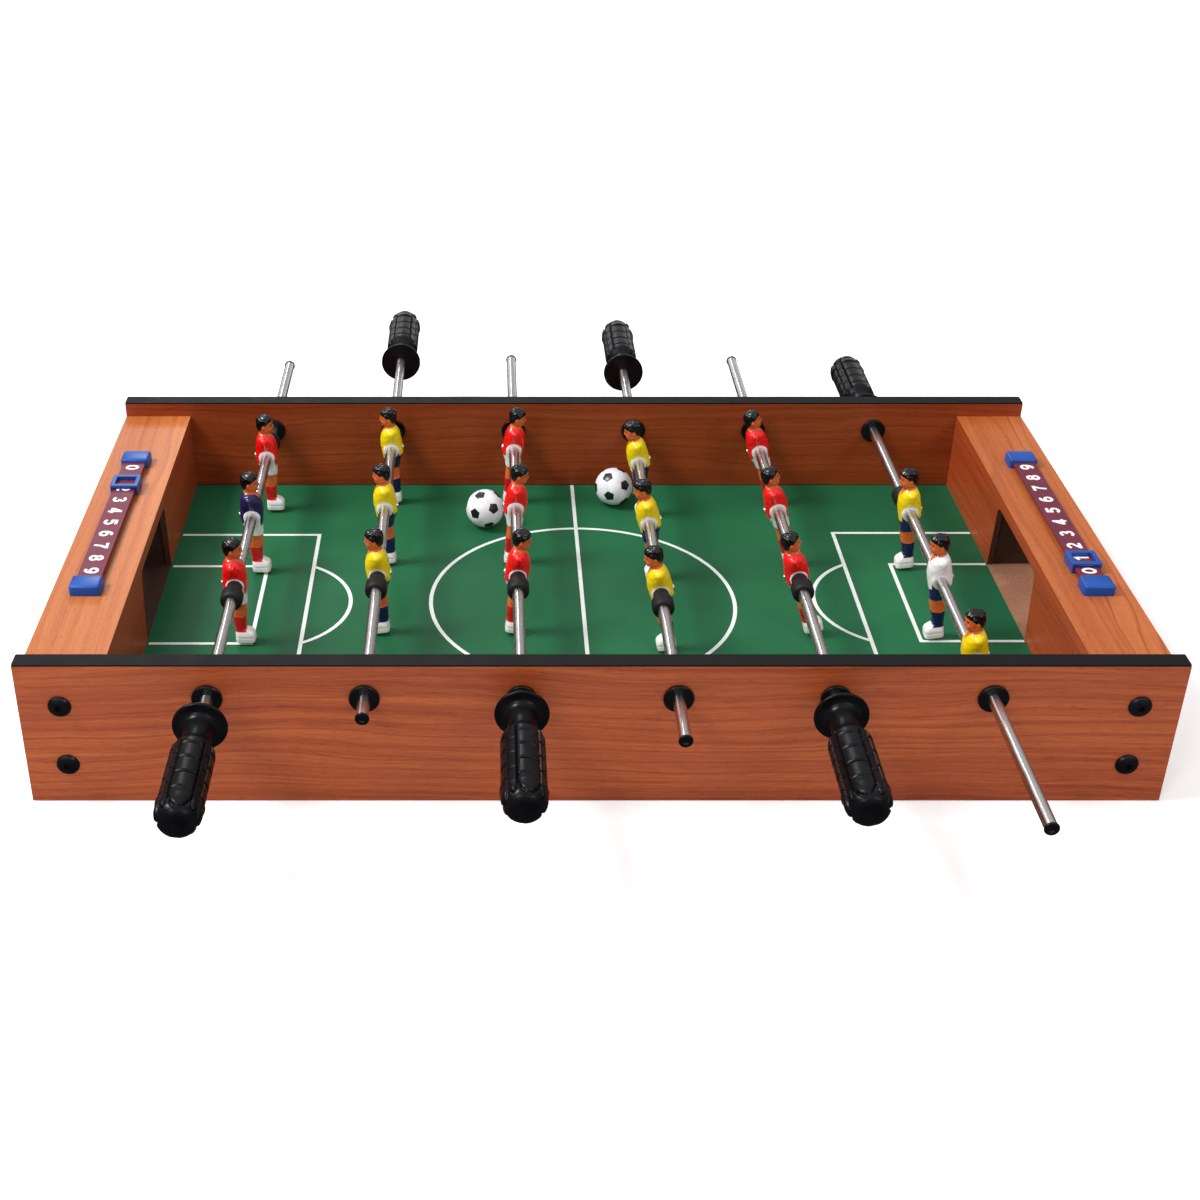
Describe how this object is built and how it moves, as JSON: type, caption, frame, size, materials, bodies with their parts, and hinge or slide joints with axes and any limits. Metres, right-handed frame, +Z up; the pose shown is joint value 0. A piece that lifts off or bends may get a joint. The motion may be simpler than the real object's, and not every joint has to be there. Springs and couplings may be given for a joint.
{
  "type": "tabletop foosball game",
  "caption": "Tabletop football game: an open wooden box with a green pitch, sliding and spinning steel rods with small players, black grips, goals at both ends and sliding score counters.",
  "frame": {"origin": "centre of the underside, on the plane that the long panels stand on", "axes": "+X along the table from the left goal to the right goal, +Y from the front panel to the back panel along the rods, +Z up"},
  "size_m": [0.69, 0.7231, 0.1093],
  "materials": {
    "panel_wood": "satin reddish-brown wood-grain laminate",
    "top_wood": "satin lighter orange wood-grain laminate",
    "raw_board": "raw fibreboard and softwood, matt",
    "pitch": "printed green playing surface with white lines, satin",
    "edge_black": "satin black edge tape",
    "bolt_black": "black oxide",
    "black_plastic": "satin black",
    "black_rubber": "matt",
    "rod_steel": "chromed, polished",
    "screw_steel": "bright",
    "red_team": "painted, gloss",
    "yellow_team": "painted, gloss",
    "keeper_navy": "painted, gloss",
    "keeper_white": "painted, gloss",
    "score_strip": "satin maroon with white digits",
    "score_blue": "satin blue",
    "ball": "white with black pentagons, gloss"
  },
  "bodies": {
    "cabinet": {"panel_front": "panel_wood", "panel_back": "panel_wood", "edge_bands": "edge_black", "goal_board_left": "panel_wood", "goal_board_right": "panel_wood", "goal_walls": "raw_board", "end_boards_outer": "panel_wood", "end_top_left": "top_wood", "end_top_right": "top_wood", "end_floors": "raw_board", "corner_blocks": "raw_board", "playfield": "pitch", "battens": "raw_board", "cabinet_screws": "bolt_black", "bushing_sleeves": "black_plastic", "bushing_rings": "black_plastic", "score_strips": "score_strip", "score_clamps": "score_blue"},
    "slider_1": {"bumpers_1": "black_rubber"},
    "spin_1": {"rod_1": "rod_steel", "handle_1": "black_plastic", "end_cap_1": "black_plastic", "players_1": "red_team", "player_screws_1": "screw_steel", "keeper_1": "keeper_navy"},
    "slider_2": {"bumpers_2": "black_rubber"},
    "spin_2": {"rod_2": "rod_steel", "handle_2": "black_plastic", "end_cap_2": "black_plastic", "players_2": "yellow_team", "player_screws_2": "screw_steel"},
    "slider_3": {"bumpers_3": "black_rubber"},
    "spin_3": {"rod_3": "rod_steel", "handle_3": "black_plastic", "end_cap_3": "black_plastic", "players_3": "red_team", "player_screws_3": "screw_steel"},
    "slider_4": {"bumpers_4": "black_rubber"},
    "spin_4": {"rod_4": "rod_steel", "handle_4": "black_plastic", "end_cap_4": "black_plastic", "players_4": "yellow_team", "player_screws_4": "screw_steel"},
    "slider_5": {"bumpers_5": "black_rubber"},
    "spin_5": {"rod_5": "rod_steel", "handle_5": "black_plastic", "end_cap_5": "black_plastic", "players_5": "red_team", "player_screws_5": "screw_steel"},
    "slider_6": {"bumpers_6": "black_rubber"},
    "spin_6": {"rod_6": "rod_steel", "handle_6": "black_plastic", "end_cap_6": "black_plastic", "players_6": "yellow_team", "player_screws_6": "screw_steel", "keeper_6": "keeper_white"},
    "marker_left": {"marker_left": "score_blue"},
    "marker_right": {"marker_right": "score_blue"},
    "ball_1": {"ball_1": "ball"},
    "ball_2": {"ball_2": "ball"}
  },
  "joints": [
    {"name": "rod_1_slide", "type": "slide", "parent": "cabinet", "child": "slider_1", "axis": [0, 1, 0], "range_m": [-0.0953, 0.0143]},
    {"name": "rod_1_spin", "type": "hinge", "parent": "slider_1", "child": "spin_1", "pos_m": [-0.23217, 0, 0.0754], "axis": [0, 1, 0], "continuous": true},
    {"name": "rod_2_slide", "type": "slide", "parent": "cabinet", "child": "slider_2", "axis": [0, 1, 0], "range_m": [-0.108, 0.0016]},
    {"name": "rod_2_spin", "type": "hinge", "parent": "slider_2", "child": "spin_2", "pos_m": [-0.13931, 0, 0.0754], "axis": [0, 1, 0], "continuous": true},
    {"name": "rod_3_slide", "type": "slide", "parent": "cabinet", "child": "slider_3", "axis": [0, 1, 0], "range_m": [-0.1078, 0.0018]},
    {"name": "rod_3_spin", "type": "hinge", "parent": "slider_3", "child": "spin_3", "pos_m": [-0.04643, 0, 0.0754], "axis": [0, 1, 0], "continuous": true},
    {"name": "rod_4_slide", "type": "slide", "parent": "cabinet", "child": "slider_4", "axis": [0, 1, 0], "range_m": [-0.0859, 0.0237]},
    {"name": "rod_4_spin", "type": "hinge", "parent": "slider_4", "child": "spin_4", "pos_m": [0.04643, 0, 0.0754], "axis": [0, 1, 0], "continuous": true},
    {"name": "rod_5_slide", "type": "slide", "parent": "cabinet", "child": "slider_5", "axis": [0, 1, 0], "range_m": [-0.1054, 0.0042]},
    {"name": "rod_5_spin", "type": "hinge", "parent": "slider_5", "child": "spin_5", "pos_m": [0.13931, 0, 0.0754], "axis": [0, 1, 0], "continuous": true},
    {"name": "rod_6_slide", "type": "slide", "parent": "cabinet", "child": "slider_6", "axis": [0, 1, 0], "range_m": [-0.0059, 0.1037]},
    {"name": "rod_6_spin", "type": "hinge", "parent": "slider_6", "child": "spin_6", "pos_m": [0.23217, 0, 0.0754], "axis": [0, 1, 0], "continuous": true},
    {"name": "marker_left_slide", "type": "slide", "parent": "cabinet", "child": "marker_left", "axis": [0, 1, 0], "range_m": [-0.1241, 0.0239]},
    {"name": "marker_right_slide", "type": "slide", "parent": "cabinet", "child": "marker_right", "axis": [0, 1, 0], "range_m": [-0.0131, 0.1349]},
    {"name": "ball_1_roll", "type": "slide", "parent": "cabinet", "child": "ball_1", "axis": [0, 1, 0], "range_m": [-0.3122, 0.0174]},
    {"name": "ball_2_roll", "type": "slide", "parent": "cabinet", "child": "ball_2", "axis": [0, 1, 0], "range_m": [-0.2761, 0.0535]}
  ]
}
